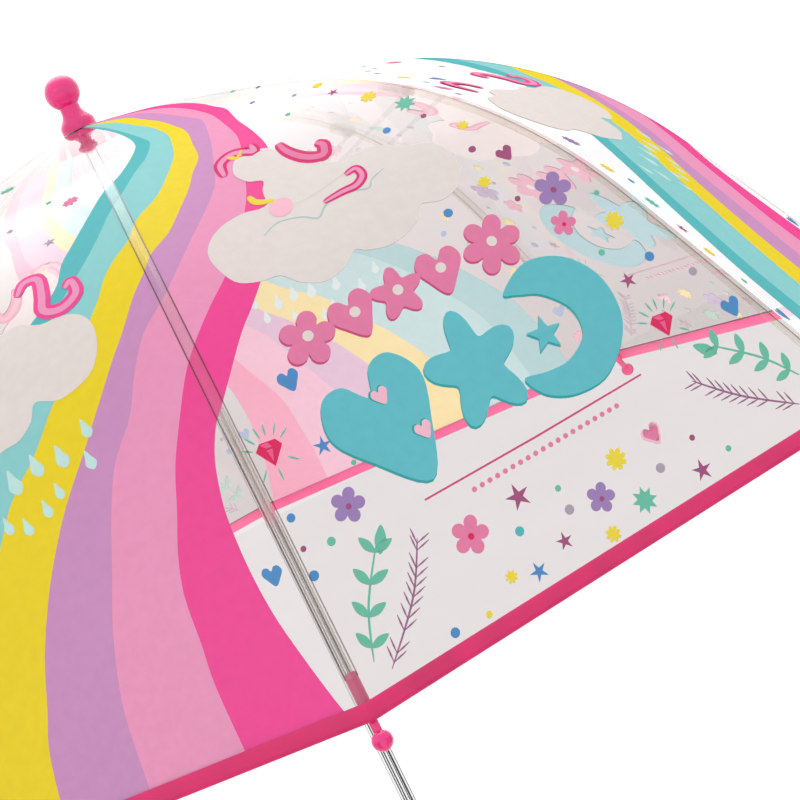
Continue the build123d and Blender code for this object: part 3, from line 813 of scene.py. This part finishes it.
# The hem tape's section as (s, lift), from its top edge outside, round the foot, to the inside.
TAPE_SECTION = (
    (TAPE_TOP, 0.75), (TAPE_TOP + 0.4, 0.95), (469, 0.85), (472, 0.95), (TAPE_FOOT - 0.5, 0.8),
    (TAPE_FOOT, 0.3), (TAPE_FOOT, -0.3), (TAPE_FOOT - 0.5, -0.6), (472, -0.6), (TAPE_TOP, -0.6),
    (TAPE_TOP, -0.35),
)
for number in range(1, RIB_COUNT + 1):
    here = [number - 1 + c for c in columns]
    for half, start, end in (("upper", HOLE_S, JOINT_S), ("lower", JOINT_S, HEM_S)):
        patch = Patch()
        strip(here, stations(start, end), patch)
        film = add_object(f"film_{half}_{number}", patch.verts, patch.faces, [MATERIALS["film"]])
        drawn = prints[half, number]
        artwork = add_object(f"print_{half}_{number}", drawn.verts, drawn.faces, ink_materials,
                             drawn.materials)
        patch = Patch()
        stops = stations(max(start, WELD_START), min(end, WELD_END))
        for s0, s1 in zip(stops, stops[1:]):
            for side in (-1, 1):
                for w0, w1, lift in WELD_LINES:
                    corners = []
                    for w, s in ((w0, s0), (w0, s1), (w1, s1), (w1, s0)):
                        u = number - 1 + side * w / chord(s)
                        gore = number - 1 if side > 0 else number - 2
                        corners.append(patch.corner(u, s, lift, gore))
                    patch.add(corners if side > 0 else corners[::-1], int(w0 > 0))
        seam = add_object(f"seam_{half}_{number}", patch.verts, patch.faces,
                          [MATERIALS["seam"], MATERIALS["weld_line_and_rib_shade"]], patch.materials)
        width, length, area = cut_size(start, end)
        pieces = [artwork, seam]
        if half == "lower":
            patch = Patch()
            for u0, u1 in zip(here, here[1:]):
                gore = floor((u0 + u1) / 2)
                for (s0, l0), (s1, l1) in zip(TAPE_SECTION, TAPE_SECTION[1:]):
                    corners = [(u0, s0, l0), (u0, s1, l1), (u1, s1, l1), (u1, s0, l0)]
                    inside = l0 < 0 and l1 < 0
                    patch.add([patch.corner(*corner, gore) for corner in corners], int(inside))
            hem = add_object(f"hem_{number}", patch.verts, patch.faces,
                             [MATERIALS["tape"], MATERIALS["tape_back"]], patch.materials)
            pieces.append(hem)
        for piece in (film, *pieces):
            fit_to_rib(piece, number, half)
        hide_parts(f"canopy_section_{number}")

# ---- studio -------------------------------------------------------------
scene = bpy.context.scene
scene.view_settings.view_transform = "Standard"
scene.cycles.transparent_max_bounces = 32

FLOOR_Z = -70.0
FLOOR_TONE = 0.76
WALLS = 1.01                 # brightness of the white studio all round
BACK_WALL = 1.4              # and of the wall behind the umbrella
FLOOR_EDGE = 1.14            # of its foot, as bright as the floor in front of it
SOFTBOX = 1.6                # and of the large soft light high behind the umbrella
SOFTBOX_TOWARD = (0.1, 0.5, 0.86)
SOFTBOX_COSINES = (0.84, 0.92)    # where it starts and is full, about its middle
floor_mesh = bpy.data.meshes.new("floor")
floor_mesh.from_pydata([(-9, -9, 0), (9, -9, 0), (9, 3.3, 0), (-9, 3.3, 0)], [], [(0, 1, 2, 3)])
floor_object = bpy.data.objects.new("floor", floor_mesh)
floor_object.location = (0, 0, FLOOR_Z * MM)
scene.collection.objects.link(floor_object)
paper = Nodes("floor_paper")
paper_body = paper.add("BsdfDiffuse")
darker = (*[FLOOR_TONE - 0.01] * 3, 1)
lighter = (*[FLOOR_TONE + 0.01] * 3, 1)
paper_tone = paper.ramp(paper.noise(3.0, 4.0), darker, lighter)
paper.link(paper_tone, paper_body.inputs["Color"])
floor_mesh.materials.append(paper.surface(paper_body.outputs["BSDF"]))

world = bpy.data.worlds.new("studio")
scene.world = world
world.use_nodes = True
world_nodes = world.node_tree.nodes
background = world_nodes["Background"]
direction = world_nodes.new("ShaderNodeTexCoord")
apart = world_nodes.new("ShaderNodeSeparateXYZ")
links = world.node_tree.links


def world_patch(source, start, end, low, high):
    """source taken from start..end to low..high, clamped."""
    node = world_nodes.new("ShaderNodeMapRange")
    node.inputs["From Min"].default_value = start
    node.inputs["From Max"].default_value = end
    node.inputs["To Min"].default_value = low
    node.inputs["To Max"].default_value = high
    links.new(source, node.inputs["Value"])
    return node.outputs["Result"]


def world_math(operation, first, second):
    node = world_nodes.new("ShaderNodeMath")
    node.operation = operation
    links.new(first, node.inputs[0])
    links.new(second, node.inputs[1])
    return node.outputs["Value"]


toward_box = world_nodes.new("ShaderNodeVectorMath")
toward_box.operation = "DOT_PRODUCT"
toward_box.inputs[1].default_value = Vector(SOFTBOX_TOWARD).normalized()
links.new(direction.outputs["Generated"], toward_box.inputs[0])
links.new(direction.outputs["Generated"], apart.inputs["Vector"])
softbox = world_patch(toward_box.outputs["Value"], *SOFTBOX_COSINES, 0.0, SOFTBOX)
walls = world_patch(apart.outputs["Y"], 0.3, 0.8, WALLS, BACK_WALL)
low_wall = world_patch(apart.outputs["Z"], -0.12, -0.04, FLOOR_EDGE, BACK_WALL)
dimmer = world_math("MINIMUM", walls, low_wall)
links.new(world_math("ADD", softbox, dimmer), background.inputs["Strength"])
background.inputs["Color"].default_value = WHITE


def soft_light(name, place, aim, size, power, seen=True):
    """An area light. Lengths are in metres and the power is in watts."""
    data = bpy.data.lights.new(name, "AREA")
    data.shape = "RECTANGLE"
    data.size = size[0]
    data.size_y = size[1]
    data.energy = power
    light = bpy.data.objects.new(name, data)
    light.location = place
    light.rotation_euler = (Vector(aim) - Vector(place)).to_track_quat("-Z", "Y").to_euler()
    light.visible_camera = seen
    light.visible_glossy = seen
    scene.collection.objects.link(light)


soft_light("key", (-1.4, -1.6, 1.9), (0, 0, 0.42), (1.0, 0.6), 1.5)
soft_light("fill_under_dome", (0, -0.16, 0.13), (0, 0.25, 0.45), (0.5, 0.26), 1.9, seen=False)

# Grey cards round the foot, which only reflections see, give the chrome its bands.
card_paper = Nodes("card_paper")
card_body = card_paper.add("BsdfDiffuse")
card_tone = card_paper.ramp(card_paper.noise(4.0), (0.05, 0.05, 0.05, 1), (0.08, 0.08, 0.08, 1))
card_paper.link(card_tone, card_body.inputs["Color"])
card_material = card_paper.surface(card_body.outputs["BSDF"])
CARD_R = 0.55                # in metres, as is their height
CARD_TOP = 0.36
CARDS = ((-128, -104), (-74, -58), (-50, -12), (30, 60), (100, 130), (190, 214))    # azimuths
for number, (start, end) in enumerate(CARDS, 1):
    turns = [radians(start + (end - start) * i / 4) for i in range(5)]
    verts = [(CARD_R * cos(a), CARD_R * sin(a), z) for a in turns for z in (FLOOR_Z * MM, CARD_TOP)]
    faces = [(2 * i, 2 * i + 2, 2 * i + 3, 2 * i + 1) for i in range(4)]
    card = add_object(f"card_{number}", verts, faces, [card_material])
    card.visible_camera = False
    card.visible_diffuse = False
    card.visible_shadow = False

# The camera is in front of the canopy and level with it. It looks a little down and to the
# right of +Y, and is turned about its own axis.
CAMERA_PLACE = Vector((-0.0029, -1.1393, 0.4755))
HEADING = 6.2
PITCH = -3.9
ROLL = 25.7
LENS_PX = 2174.6
CENTRE_PX = (425.7, 311.7)    # where the camera's axis meets the image
IMAGE_PX = 800
SENSOR_MM = 36.0
heading = radians(HEADING)
pitch = radians(PITCH)
roll = radians(ROLL)
forward = Vector((sin(heading) * cos(pitch), cos(heading) * cos(pitch), sin(pitch)))
level = Vector((cos(heading), -sin(heading), 0))
upright = level.cross(forward)
right = level * cos(roll) - upright * sin(roll)
up = level * sin(roll) + upright * cos(roll)
camera_data = bpy.data.cameras.new("camera")
camera_data.sensor_width = SENSOR_MM
camera_data.lens = LENS_PX * SENSOR_MM / IMAGE_PX
camera_data.shift_x = (IMAGE_PX / 2 - CENTRE_PX[0]) / IMAGE_PX
camera_data.shift_y = (CENTRE_PX[1] - IMAGE_PX / 2) / IMAGE_PX
camera = bpy.data.objects.new("camera", camera_data)
turned = Matrix((right, up, -forward)).transposed().to_4x4()
camera.matrix_world = Matrix.Translation(CAMERA_PLACE) @ turned
scene.collection.objects.link(camera)
scene.camera = camera
